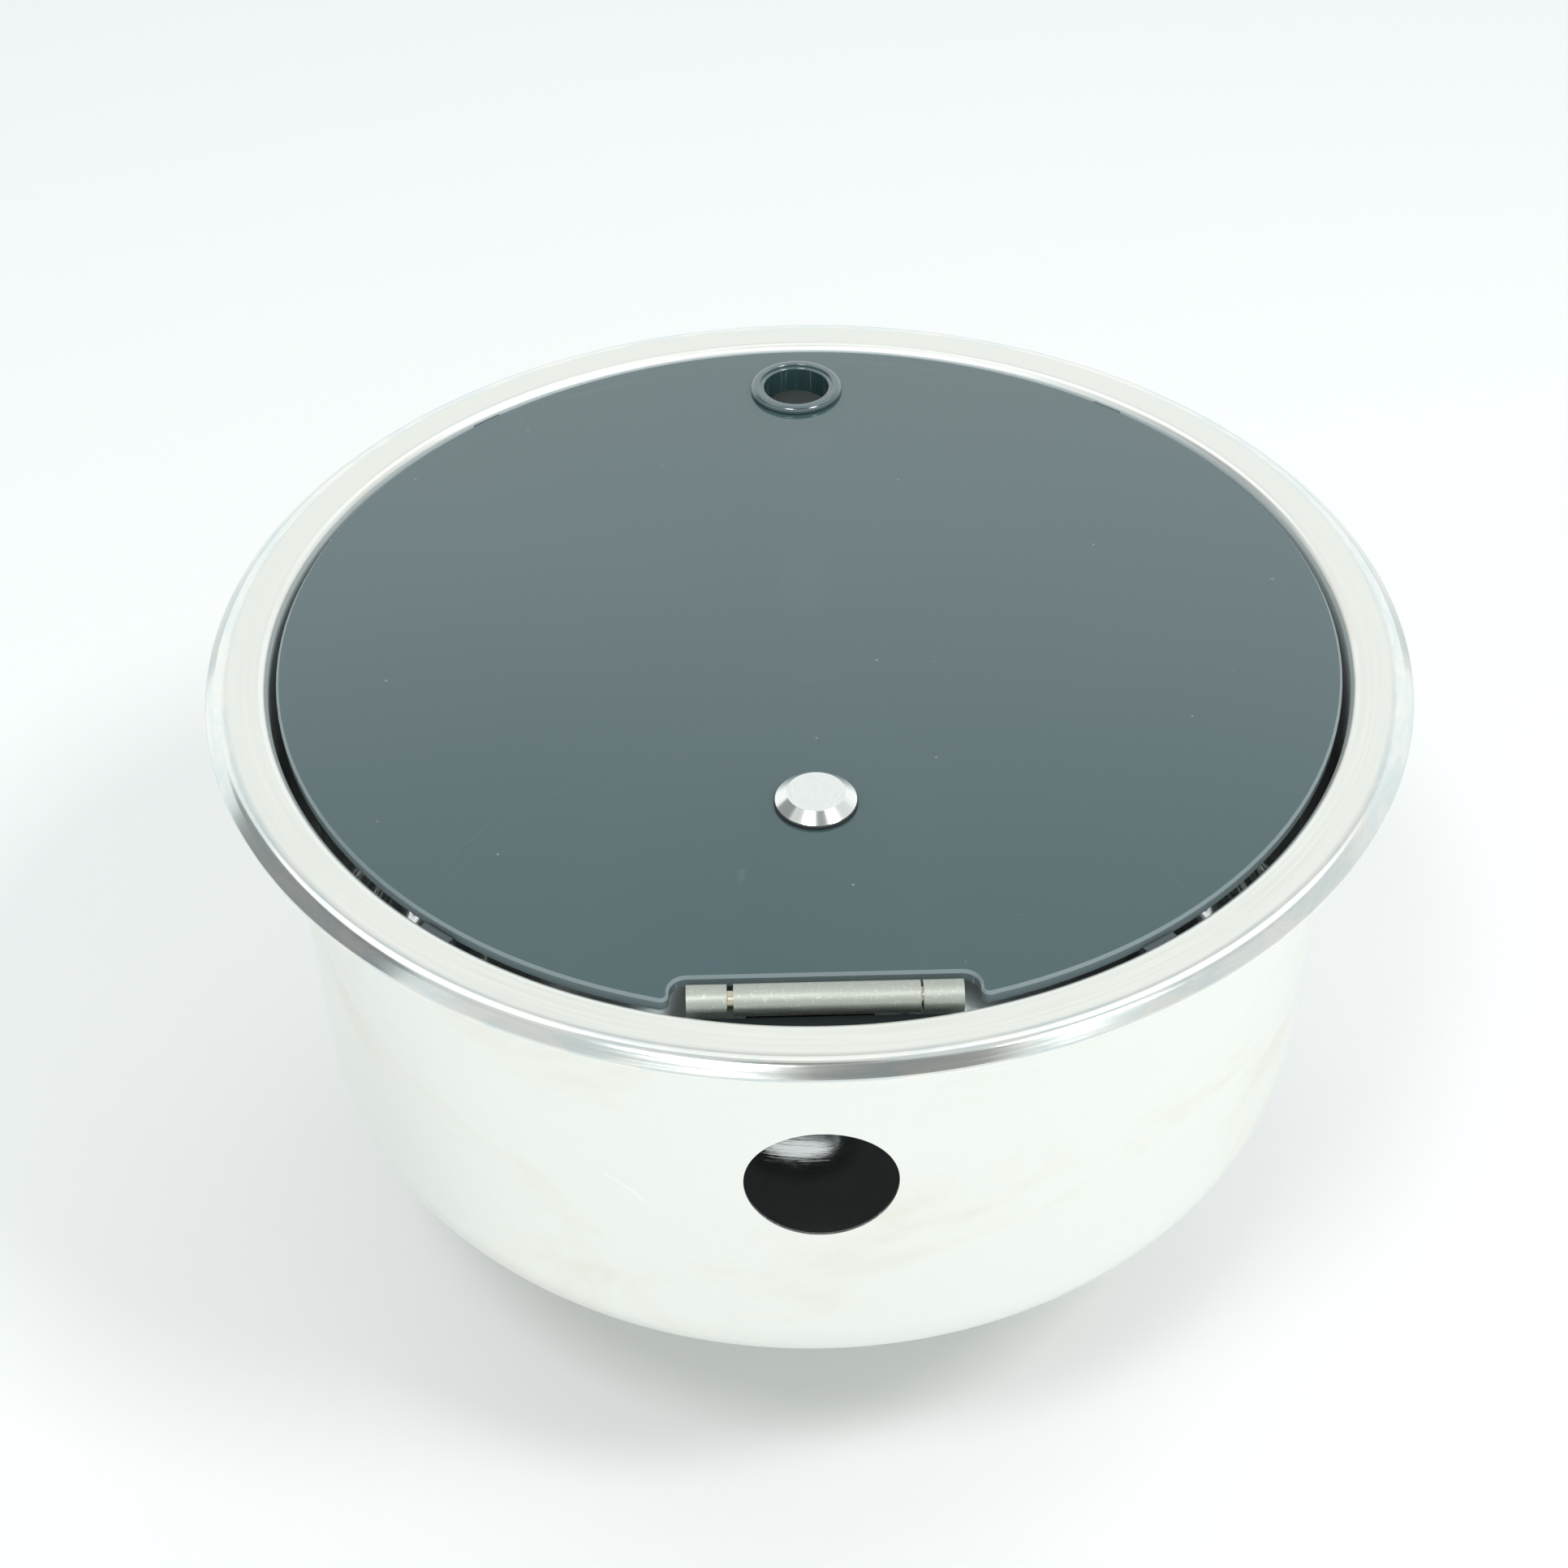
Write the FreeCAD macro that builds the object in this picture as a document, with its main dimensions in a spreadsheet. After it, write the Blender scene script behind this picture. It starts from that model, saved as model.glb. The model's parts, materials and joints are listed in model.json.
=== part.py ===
import FreeCAD, Part
import math
import os
import re
import Sketcher

# Round galley sink bowl, pressed in stainless steel, with a recessed lid of smoked glass.
# Millimetres. +Z is up, and z = 0 is the worktop that the rim rests on, at the bowl's centre.
# The lid hinges on the -Y side, about an axis along X. Its finger hole is on the +Y side.

DIMENSIONS = {
    # Pressed bowl
    "rim_radius": 210.0, "rim_height": 4.6, "sheet": 0.9, "lip_edge": 0.7, "lip_round": 1.2,
    "bevel_angle": 39.0, "bevel_round": 6.0, "mouth_radius": 188.5, "mouth_round": 4.0,
    "bowl_depth": 180.0, "wall_draft": 1.8, "corner_round": 31.0, "floor_fall": 11.3,
    "side_hole_radius": 25.0, "side_hole_drop": 76.3, "side_hole_offset": 1.5,
    # Waste
    "drain_hole": 24.0, "recess_radius": 36.5, "recess_depth": 2.5, "recess_slope": 2.5,
    "recess_round": 2.0, "gasket_radius": 33.0, "upper_gasket": 1.0, "lower_gasket": 2.0,
    "flange_radius": 35.0, "flange_thick": 1.5, "dish_radius": 21.0, "dish_depth": 5.0,
    "dish_taper": 1.2, "dish_wall": 1.2, "strainer_hole": 2.4, "outer_hole_circle": 15.5,
    "inner_hole_circle": 9.5, "body_flange": 4.0, "cup_radius": 27.0, "cup_wall": 2.4,
    "cup_depth": 24.0, "cup_cone": 8.0, "tail_radius": 12.5, "tail_bore": 10.0,
    "tail_length": 34.0, "tail_lead": 1.0, "boss_radius": 6.0, "boss_height": 9.0,
    "bridge_width": 4.0, "drain_screw_radius": 3.0, "drain_head_radius": 5.5,
    "drain_head": 2.4, "drain_screw_length": 15.0, "screw_slot": 1.4,
    "plug_radius": 19.4, "plug_taper": 0.6, "plug_collar": 25.5, "plug_collar_thick": 3.0,
    "plug_depth": 1.8, "knob_radius": 9.0, "knob_stem": 4.5, "knob_height": 13.0, "knob_thick": 4.0,
    # Glass
    "glass_radius": 185.3, "glass": 5.0, "arris": 0.9, "notch_half": 47.6, "notch_edge": 168.7,
    "notch_round": 5.5, "notch_mouth_round": 2.5, "finger_hole_radius": 14.6, "finger_hole_y": 157.0,
    "clamp_hole_radius": 5.0, "clamp_y": -88.8,
    # Finger ring
    "ring_radius": 17.8, "ring_bore": 12.6, "ring_flange": 2.4, "ring_bead": 1.6, "ring_step": 0.9,
    "ring_round": 1.8, "ring_bead_round": 0.6, "ring_sleeve": 14.3, "ring_seal": 0.4,
    "ring_tail": 8.4, "ring_nut_radius": 18.5, "ring_nut": 3.2, "ring_nut_notch": 2.0,
    # Glass clamp
    "cap_radius": 13.45, "cap_flat": 9.7, "cap_height": 3.6, "cap_edge": 0.6, "cap_gasket": 1.0,
    "gasket_proud": 0.3, "stud_radius": 3.0, "stud_length": 17.0, "bush_wall": 1.85,
    "clamp_washer_radius": 9.0, "clamp_washer": 1.2, "nut_corner": 5.75, "nut_height": 5.0,
    # Hinge
    "axis_y": -176.0, "axis_drop": 3.0, "barrel_radius": 5.0, "pin_radius": 3.0,
    "pin_clearance": 0.05, "pin_bevel": 0.5, "middle_knuckle": 57.0, "end_knuckle": 12.4,
    "knuckle_gap": 1.4, "knuckle_play": 0.6, "knuckle_relief": 0.6, "leaf": 2.0, "pad": 1.0,
    "pad_start": 165.0,
    "leaf_root": 150.0, "leaf_end_radius": 20.0, "bracket_bottom": 16.0, "bracket_top": 4.6,
    "saddle_half": 39.0, "saddle_bottom": 15.4, "saddle_top": 1.2, "fit_gap": 0.05, "backing_half": 20.0,
    "backing_face": 190.3, "fixing_x": 12.0, "fixing_drop": 9.4, "fixing_radius": 2.0,
    "fixing_clearance": 0.3, "fixing_head": 3.9, "fixing_length": 16.0, "fixing_socket": 1.4,
    "fixing_socket_depth": 1.2, "fixing_washer_radius": 4.5, "fixing_washer": 0.8,
    "fixing_nut_corner": 4.04, "fixing_nut": 3.2,
    # Lid bumpers and rim seal
    "bumper_width": 12.0, "bumper_height": 8.0, "bumper_inner": 179.5, "bumper_gap": 0.9,
    "bumper_rise": 2.6, "lid_clearance": 0.1, "seal_inner": 196.0, "seal_outer": 202.5,
}
BUMPER_ANGLES = (-56.0, -130.0, 50.0, 130.0)
OUTER_STRAINER_HOLES = 12
INNER_STRAINER_HOLES = 6
RING_NUT_NOTCHES = 8

doc = FreeCAD.newDocument("GalleySink")
sheet = doc.addObject("Spreadsheet::Sheet", "Params")
for row, (alias, size) in enumerate(DIMENSIONS.items(), start=1):
    sheet.set("A%d" % row, alias)
    sheet.set("B%d" % row, str(size))
    sheet.setAlias("B%d" % row, alias)
doc.recompute()

# Heights and places that several pieces share, as sums of the sheet's cells.
GLASS_BOTTOM = "(rim_height - glass)"
PAD_BOTTOM = "(rim_height - glass - pad)"
LEAF_BOTTOM = "(rim_height - glass - pad - leaf)"
AXIS_Z = "(rim_height - axis_drop)"
FLOOR = "(rim_height - bowl_depth)"
RECESS_FLOOR = "(rim_height - bowl_depth - floor_fall - recess_depth)"
WASTE_TOP = "(rim_height - bowl_depth - floor_fall - recess_depth + upper_gasket + flange_thick)"
BODY_TOP = "(rim_height - bowl_depth - floor_fall - recess_depth - sheet - lower_gasket)"
BEVEL_RADIUS = "(rim_radius - (rim_height - lip_edge) / tan(bevel_angle))"
KNUCKLES_HALF = "(middle_knuckle / 2 + knuckle_gap + end_knuckle)"
PLATE_BACK = "(barrel_radius - axis_y)"
nodes = []


# ---------------------------------------------------------------- helpers
def full(expression):
    """The expression with each alias written as a cell of the sheet."""
    return re.sub(r"[a-z_]+", lambda m: "Params." + m[0] if m[0] in DIMENSIONS else m[0], expression)


def value(expression):
    return float(sheet.evalExpression(full(expression)))


def bind(piece, **sizes):
    """Ties a piece's properties to the sheet. Two underscores in a name stand for a dot."""
    for name, expression in sizes.items():
        piece.setExpression(name.replace("__", "."), full(expression))


def place(piece, x="0", y="0", z="0", turn=None):
    if turn:
        piece.Placement.Rotation = FreeCAD.Rotation(*turn)
    bind(piece, Placement__Base__x=x, Placement__Base__y=y, Placement__Base__z=z)
    return piece


def node(piece, label):
    """Names a finished sub-part and lists it for writing."""
    piece.Label = label
    nodes.append(piece)


def primitive(kind, **sizes):
    piece = doc.addObject("Part::" + kind, kind)
    bind(piece, **sizes)
    return piece


def boolean(kind, base, tool):
    piece = doc.addObject("Part::" + kind, kind)
    piece.Base = base
    piece.Tool = tool
    return piece


def tube(outer, inner, length):
    """A plain ring that stands on its own z = 0."""
    return boolean("Cut", primitive("Cylinder", Radius=outer, Height=length),
                   primitive("Cylinder", Radius=inner, Height=length))


def compound(pieces):
    group = doc.addObject("Part::Compound", "Group")
    group.Links = pieces
    return group


def body(name):
    return doc.addObject("PartDesign::Body", name)


def sketch_on(owner, plane, height="0"):
    """A sketch on one of the body's own origin planes, raised by height along its normal."""
    sketch = owner.newObject("Sketcher::SketchObject", "Sketch")
    sketch.AttachmentSupport = [(next(f for f in owner.Origin.OriginFeatures if f.Role == plane), "")]
    sketch.MapMode = "FlatFace"
    bind(sketch, AttachmentOffset__Base__z=height)
    return sketch


def hold_point(sketch, geometry, end, corner):
    for kind, expression in zip(("DistanceX", "DistanceY"), corner):
        index = sketch.addConstraint(Sketcher.Constraint(kind, -1, 1, geometry, end, value(expression)))
        sketch.setExpression("Constraints[%d]" % index, full(expression))


def outline(sketch, corners):
    """A closed outline of straight lines whose corners are pairs of expressions."""
    points = [FreeCAD.Vector(value(x), value(y), 0) for x, y in corners]
    first = sketch.GeometryCount
    for start, end in zip(points, points[1:] + points[:1]):
        sketch.addGeometry(Part.LineSegment(start, end))
    for index, corner in enumerate(corners):
        following = first + (index + 1) % len(corners)
        sketch.addConstraint(Sketcher.Constraint("Coincident", first + index, 2, following, 1))
        hold_point(sketch, first + index, 1, corner)
    return sketch


def circle(sketch, x, y, radius):
    centre = FreeCAD.Vector(value(x), value(y), 0)
    index = sketch.addGeometry(Part.Circle(centre, FreeCAD.Vector(0, 0, 1), value(radius)))
    hold_point(sketch, index, 3, (x, y))
    size = sketch.addConstraint(Sketcher.Constraint("Radius", index, value(radius)))
    sketch.setExpression("Constraints[%d]" % size, full(radius))
    return sketch


def revolve(owner, corners):
    """Turns an outline in the XZ plane about Z."""
    feature = owner.newObject("PartDesign::Revolution", "Revolution")
    feature.Profile = outline(sketch_on(owner, "XZ_Plane"), corners)
    feature.ReferenceAxis = (feature.Profile[0], ["V_Axis"])
    feature.Angle = 360
    doc.recompute()
    return owner


def pad(owner, sketch, length, symmetric=False):
    feature = owner.newObject("PartDesign::Pad", "Pad")
    feature.Profile = sketch
    feature.SideType = "Symmetric" if symmetric else "One side"
    bind(feature, Length=length)
    doc.recompute()


def pocket(owner, sketch, length=None, reverse=False, symmetric=False):
    """Cuts a sketch out of the body, through everything unless a length is given."""
    before = owner.Shape.Volume
    feature = owner.newObject("PartDesign::Pocket", "Pocket")
    feature.Profile = sketch
    feature.Reversed = reverse
    feature.SideType = "Symmetric" if symmetric else "One side"
    feature.Type = "Length" if length else "ThroughAll"
    if length:
        bind(feature, Length=length)
    doc.recompute()
    if owner.Shape.Volume > before - 0.1:
        raise RuntimeError("a pocket in %s cut nothing" % owner.Name)
    return feature


def repeat_round(owner, feature, count):
    pattern = owner.newObject("PartDesign::PolarPattern", "PolarPattern")
    pattern.Originals = [feature]
    pattern.Axis = (feature.Profile[0], ["N_Axis"])
    pattern.Angle = 360
    pattern.Occurrences = count
    owner.Tip = pattern
    doc.recompute()


def ease(owner, kind, size, chosen):
    """Fillets or chamfers the edges of the body for which chosen(edge) is true."""
    base = owner.Tip
    names = ["Edge%d" % n for n, edge in enumerate(base.Shape.Edges, start=1) if chosen(edge)]
    if not names:
        raise RuntimeError("no edge to ease in " + owner.Name)
    feature = owner.newObject("PartDesign::" + kind, kind)
    feature.Base = (base, names)
    bind(feature, **{"Radius" if kind == "Fillet" else "Size": size})
    doc.recompute()


def ring_edge(radius, height):
    """Chooses the round edge about Z with this radius at this height."""
    wanted = (value(radius), value(height))

    def chosen(edge):
        if edge.Curve.TypeId != "Part::GeomCircle":
            return False
        found = (edge.Curve.Radius, edge.Curve.Center.z)
        return math.dist(found, wanted) < 0.01
    return chosen


def upright_edge(x, y):
    """Chooses the edges parallel to Z at plus and minus x."""
    wanted = (value(x), value(y))

    def chosen(edge):
        if abs(edge.tangentAt(edge.FirstParameter).z) < 0.99:
            return False
        return math.dist((abs(edge.Vertexes[0].X), edge.Vertexes[0].Y), wanted) < 0.01
    return chosen


# ---------------------------------------------------------------- pressed bowl
def make_bowl():
    """Rim, rolled lip, wall, floor and drain recess in one sheet, then the holes through it."""
    half_bevel = "tan(bevel_angle / 2)"
    half_lip = "tan(45 - bevel_angle / 2)"
    half_recess = "sheet * tan(22.5)"
    outer_mouth = "(mouth_radius + sheet / cos(wall_draft))"
    inner_corner = ("mouth_radius - bowl_depth * tan(wall_draft)", FLOOR)
    outer_corner = (outer_mouth + " - (bowl_depth + sheet) * tan(wall_draft)", FLOOR + " - sheet")
    inner_mouth = ("mouth_radius", "rim_height")
    under_mouth = (outer_mouth + " - sheet * tan(wall_draft)", "rim_height - sheet")
    bevel_top = (BEVEL_RADIUS, "rim_height")
    bevel_under = (BEVEL_RADIUS + " - sheet * " + half_bevel, "rim_height - sheet")
    lip_top = ("rim_radius", "lip_edge")
    recess_lip = ("recess_radius + recess_slope", FLOOR + " - floor_fall")
    recess_foot = ("recess_radius", RECESS_FLOOR)
    recess_lip_under = (recess_lip[0] + " + " + half_recess, recess_lip[1] + " - sheet")
    recess_foot_under = (recess_foot[0] + " + " + half_recess, RECESS_FLOOR + " - sheet")
    bowl = revolve(body("Bowl"), [
        ("rim_radius", "0"), lip_top, bevel_top, inner_mouth, inner_corner, recess_lip, recess_foot,
        ("drain_hole", RECESS_FLOOR), ("drain_hole", RECESS_FLOOR + " - sheet"), recess_foot_under,
        recess_lip_under, outer_corner, under_mouth, bevel_under,
        ("rim_radius - sheet", "lip_edge - sheet * " + half_lip), ("rim_radius - sheet", "0")])
    for corner, radius in (
            (inner_corner, "corner_round"), (outer_corner, "corner_round + sheet"),
            (inner_mouth, "mouth_round"), (under_mouth, "mouth_round - sheet"),
            (bevel_top, "bevel_round"), (bevel_under, "bevel_round - sheet"), (lip_top, "lip_round"),
            (recess_lip, "recess_round"), (recess_lip_under, "recess_round - sheet"),
            (recess_foot_under, "recess_round"), (recess_foot, "recess_round - sheet")):
        ease(bowl, "Fillet", radius, ring_edge(*corner))
    holes = sketch_on(bowl, "XZ_Plane")
    circle(holes, "-side_hole_offset", "rim_height - side_hole_drop", "side_hole_radius")
    for side in ("", "-"):
        circle(holes, side + "fixing_x", "-fixing_drop", "fixing_radius + fixing_clearance")
    pocket(bowl, holes, "rim_radius", reverse=True)
    node(bowl, "bowl")


def make_rim_seal():
    node(place(tube("seal_outer", "seal_inner", "rim_height - sheet")), "rim_seal")


def wall_cone(radius_at_mouth, depth="40"):
    """The cone of the bowl's wall, inside or outside, down to a depth below the rim's top."""
    drop = depth + " * tan(wall_draft)"
    cone = primitive("Cone", Radius1=radius_at_mouth + " - " + drop, Radius2=radius_at_mouth, Height=depth)
    return place(cone, z="rim_height - " + depth)


def make_lid_bumpers():
    """Soft steps stuck to the wall. The glass rests on each one, with a low rise behind its edge."""
    top = GLASS_BOTTOM + " - lid_clearance"
    reach = "rim_radius"
    bumpers = []
    for angle in BUMPER_ANGLES:
        step = primitive("Box", Length=reach + " - bumper_inner", Width="bumper_width",
                         Height="bumper_height")
        place(step, "bumper_inner", "-bumper_width / 2", top + " - bumper_height")
        rise_start = "(glass_radius + bumper_gap)"
        rise = primitive("Box", Length=reach + " - " + rise_start, Width="bumper_width",
                         Height="bumper_height + bumper_rise")
        place(rise, rise_start, "-bumper_width / 2", top + " - bumper_height")
        trimmed = boolean("Common", boolean("Fuse", step, rise), wall_cone("(mouth_radius - fit_gap)"))
        trimmed.Placement.Rotation = FreeCAD.Rotation(FreeCAD.Vector(0, 0, 1), angle)
        bumpers.append(trimmed)
    node(compound(bumpers), "lid_bumpers")


# ---------------------------------------------------------------- waste
def make_drain_flange():
    """Polished strainer: a flat flange flush with the floor and a dished, drilled middle."""
    dish_floor = WASTE_TOP + " - dish_depth"
    under_floor = dish_floor + " - dish_wall"
    flange = revolve(body("DrainFlange"), [
        ("flange_radius", WASTE_TOP + " - flange_thick"), ("flange_radius", WASTE_TOP),
        ("dish_radius", WASTE_TOP), ("dish_radius - dish_taper", dish_floor),
        ("drain_screw_radius + fixing_clearance", dish_floor),
        ("drain_screw_radius + fixing_clearance", under_floor),
        ("dish_radius - dish_taper + dish_wall", under_floor),
        ("dish_radius + dish_wall", WASTE_TOP + " - flange_thick")])
    ease(flange, "Fillet", "dish_wall / 2", ring_edge("flange_radius", WASTE_TOP))
    ease(flange, "Fillet", "dish_wall / 2", ring_edge("dish_radius", WASTE_TOP))
    for ring, count in (("outer_hole_circle", OUTER_STRAINER_HOLES),
                        ("inner_hole_circle", INNER_STRAINER_HOLES)):
        drilled = pocket(flange, circle(sketch_on(flange, "XY_Plane"), ring, "0", "strainer_hole"))
        repeat_round(flange, drilled, count)
    node(flange, "drain_flange")


def make_drain_gaskets():
    upper = tube("gasket_radius", "drain_hole", "upper_gasket")
    node(place(upper, z=RECESS_FLOOR), "drain_gasket_upper")
    lower = tube("gasket_radius", "drain_hole", "lower_gasket")
    node(place(lower, z=BODY_TOP), "drain_gasket_lower")


def make_drain_body():
    """Moulded cup under the floor, with a bridge for the screw and a tail for the hose."""
    cup_inner = "cup_radius - cup_wall"
    cup_foot = BODY_TOP + " - cup_depth"
    tail_top = cup_foot + " - cup_cone"
    tail_end = tail_top + " - tail_length"
    cup = revolve(body("DrainBody"), [
        (cup_inner, BODY_TOP), ("gasket_radius", BODY_TOP), ("gasket_radius", BODY_TOP + " - body_flange"),
        ("cup_radius", BODY_TOP + " - body_flange"), ("cup_radius", cup_foot), ("tail_radius", tail_top),
        ("tail_radius", tail_end + " + tail_lead"), ("tail_radius - tail_lead", tail_end),
        ("tail_bore", tail_end), ("tail_bore", tail_top), (cup_inner, cup_foot + " + cup_wall")])
    boss_top = "(" + WASTE_TOP + " - dish_depth - dish_wall)"
    boss_foot = boss_top + " - boss_height"
    pad(cup, circle(sketch_on(cup, "XY_Plane", boss_foot), "0", "0", "boss_radius"), "boss_height")
    reach = "(cup_radius - cup_wall / 2)"
    corners = [(x + reach, y + "bridge_width / 2") for x, y in (("-", "-"), ("", "-"), ("", ""), ("-", ""))]
    pad(cup, outline(sketch_on(cup, "XY_Plane", boss_foot), corners), "boss_height / 2")
    bore = circle(sketch_on(cup, "XY_Plane", boss_top), "0", "0", "drain_screw_radius")
    pocket(cup, bore, "boss_height")
    node(cup, "drain_body")


def make_drain_screw():
    screw = revolve(body("DrainScrew"), [
        ("0", "-drain_screw_length"), ("drain_screw_radius", "-drain_screw_length"),
        ("drain_screw_radius", "0"), ("drain_head_radius", "0"), ("drain_head_radius", "drain_head / 3"),
        ("drain_head_radius / 2", "drain_head"), ("0", "drain_head")])
    slot = sketch_on(screw, "XY_Plane", "drain_head")
    corners = [(x + "drain_head_radius", y + "screw_slot / 2") for x, y in
               (("-", "-"), ("", "-"), ("", ""), ("-", ""))]
    pocket(screw, outline(slot, corners), "drain_head / 2")
    node(place(screw, z=WASTE_TOP + " - dish_depth"), "drain_screw")


def make_drain_plug():
    """Rubber plug: a collar that seals on the flange, a short taper below, and a knob to lift it by."""
    plug = revolve(body("DrainPlug"), [
        ("0", "-plug_depth"), ("plug_radius", "-plug_depth"), ("plug_radius + plug_taper", "0"),
        ("plug_collar", "0"), ("plug_collar", "plug_collar_thick"), ("knob_stem", "plug_collar_thick"),
        ("knob_stem", "knob_height - knob_thick"), ("knob_radius", "knob_height - knob_thick"),
        ("knob_radius", "knob_height"), ("0", "knob_height")])
    ease(plug, "Fillet", "plug_collar_thick / 2", ring_edge("plug_collar", "plug_collar_thick"))
    ease(plug, "Fillet", "knob_thick / 3", ring_edge("knob_radius", "knob_height"))
    ease(plug, "Fillet", "knob_thick / 3", ring_edge("knob_radius", "knob_height - knob_thick"))
    ease(plug, "Fillet", "knob_thick / 2", ring_edge("knob_stem", "plug_collar_thick"))
    node(place(plug, z=WASTE_TOP), "drain_plug")


# ---------------------------------------------------------------- lid
def make_lid_glass():
    glass = body("LidGlass")
    pad(glass, circle(sketch_on(glass, "XY_Plane", GLASS_BOTTOM), "0", "0", "glass_radius"), "glass")
    notch = [("-notch_half", "-rim_radius"), ("notch_half", "-rim_radius"),
             ("notch_half", "-notch_edge"), ("-notch_half", "-notch_edge")]
    cuts = outline(sketch_on(glass, "XY_Plane", GLASS_BOTTOM), notch)
    circle(cuts, "0", "finger_hole_y", "finger_hole_radius")
    circle(cuts, "0", "clamp_y", "clamp_hole_radius")
    pocket(glass, cuts, symmetric=True)
    ease(glass, "Fillet", "notch_round", upright_edge("notch_half", "-notch_edge"))
    notch_mouth = "-sqrt(glass_radius * glass_radius - notch_half * notch_half)"
    ease(glass, "Fillet", "notch_mouth_round", upright_edge("notch_half", notch_mouth))
    faces = (value(GLASS_BOTTOM), value("rim_height"))
    ease(glass, "Chamfer", "arris",
         lambda edge: any(all(abs(v.Z - z) < 0.01 for v in edge.Vertexes) for z in faces))
    node(glass, "lid_glass")


def make_finger_ring():
    """Glossy ring in the finger hole, with its seal above the glass and its nut below."""
    top = "ring_seal + ring_flange"
    bead = "ring_bore + ring_bead"
    ring = revolve(body("FingerRing"), [
        ("ring_bore", "-ring_tail"), ("ring_sleeve", "-ring_tail"), ("ring_sleeve", "ring_seal"),
        ("ring_radius", "ring_seal"), ("ring_radius", top), (bead, top), (bead, top + " - ring_step"),
        ("ring_bore", top + " - ring_step")])
    ease(ring, "Fillet", "ring_round", ring_edge("ring_radius", top))
    ease(ring, "Fillet", "ring_bead_round", ring_edge(bead, top))
    ease(ring, "Fillet", "ring_bead_round", ring_edge("ring_bore", top + " - ring_step"))
    node(place(ring, y="finger_hole_y", z="rim_height"), "finger_ring")
    seal = tube("ring_radius - ring_seal", "ring_sleeve", "ring_seal")
    node(place(seal, y="finger_hole_y", z="rim_height"), "finger_ring_seal")
    nut = body("FingerRingNut")
    flat = circle(sketch_on(nut, "XY_Plane"), "0", "0", "ring_nut_radius")
    pad(nut, circle(flat, "0", "0", "ring_sleeve"), "ring_nut")
    notch = circle(sketch_on(nut, "XY_Plane"), "ring_nut_radius", "0", "ring_nut_notch")
    repeat_round(nut, pocket(nut, notch, reverse=True), RING_NUT_NOTCHES)
    node(place(nut, y="finger_hole_y", z=GLASS_BOTTOM + " - ring_nut"), "finger_ring_nut")


def make_glass_clamp():
    """Cap and stud from above, gasket, bush in the glass, and the washer and nut under the leaf."""
    cap = revolve(body("ClampCap"), [
        ("0", "-stud_length"), ("stud_radius", "-stud_length"), ("stud_radius", "0"), ("cap_radius", "0"),
        ("cap_radius", "cap_edge"), ("cap_flat", "cap_height"), ("0", "cap_height")])
    node(place(cap, y="clamp_y", z="rim_height + cap_gasket"), "clamp_cap")
    gasket = tube("cap_radius + gasket_proud", "stud_radius + fixing_clearance", "cap_gasket")
    node(place(gasket, y="clamp_y", z="rim_height"), "clamp_gasket")
    bush = tube("stud_radius + bush_wall", "stud_radius + pin_clearance", "glass")
    node(place(bush, y="clamp_y", z=GLASS_BOTTOM), "clamp_bush")
    washer = tube("clamp_washer_radius", "stud_radius + fixing_clearance", "clamp_washer")
    node(place(washer, y="clamp_y", z=LEAF_BOTTOM + " - clamp_washer"), "clamp_washer")
    nut = hex_nut("nut_corner", "stud_radius", "nut_height")
    node(place(nut, y="clamp_y", z=LEAF_BOTTOM + " - clamp_washer - nut_height"), "clamp_nut")


def hex_nut(corner, bore, height):
    prism = primitive("Prism", Circumradius=corner, Height=height)
    prism.Polygon = 6
    return boolean("Cut", prism, primitive("Cylinder", Radius=bore, Height=height))


# ---------------------------------------------------------------- hinge
def arm(owner, start, height, thickness):
    """The flat tongue under the glass: parallel, then tapered to a round end about the clamp."""
    left = "(knuckle_play - middle_knuckle / 2)"
    right = "(knuckle_play + middle_knuckle / 2)"
    corners = [(left, start), (right, start), (right, "-leaf_root"), ("leaf_end_radius", "clamp_y"),
               ("-leaf_end_radius", "clamp_y"), (left, "-leaf_root")]
    pad(owner, outline(sketch_on(owner, "XY_Plane", height), corners), thickness)
    pad(owner, circle(sketch_on(owner, "XY_Plane", height), "0", "clamp_y", "leaf_end_radius"), thickness)
    hole = circle(sketch_on(owner, "XY_Plane", height), "0", "clamp_y", "stud_radius + fixing_clearance")
    pocket(owner, hole, symmetric=True)


def on_axis(owner, radius, x="0"):
    """A circle about the hinge's axis, on a plane across it."""
    return circle(sketch_on(owner, "YZ_Plane", x), "axis_y", AXIS_Z, radius)


def make_hinge_leaf():
    """Moving leaf, whose knuckle has run along the pin to the +X end of its play, and its pad."""
    leaf = body("HingeLeaf")
    arm(leaf, "axis_y", LEAF_BOTTOM, "leaf")
    pad(leaf, on_axis(leaf, "barrel_radius", "knuckle_play"), "middle_knuckle", symmetric=True)
    pocket(leaf, on_axis(leaf, "pin_radius + pin_clearance"), symmetric=True)
    node(leaf, "hinge_leaf")
    cushion = body("LeafPad")
    arm(cushion, "-pad_start", PAD_BOTTOM, "pad")
    node(cushion, "leaf_pad")


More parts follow.
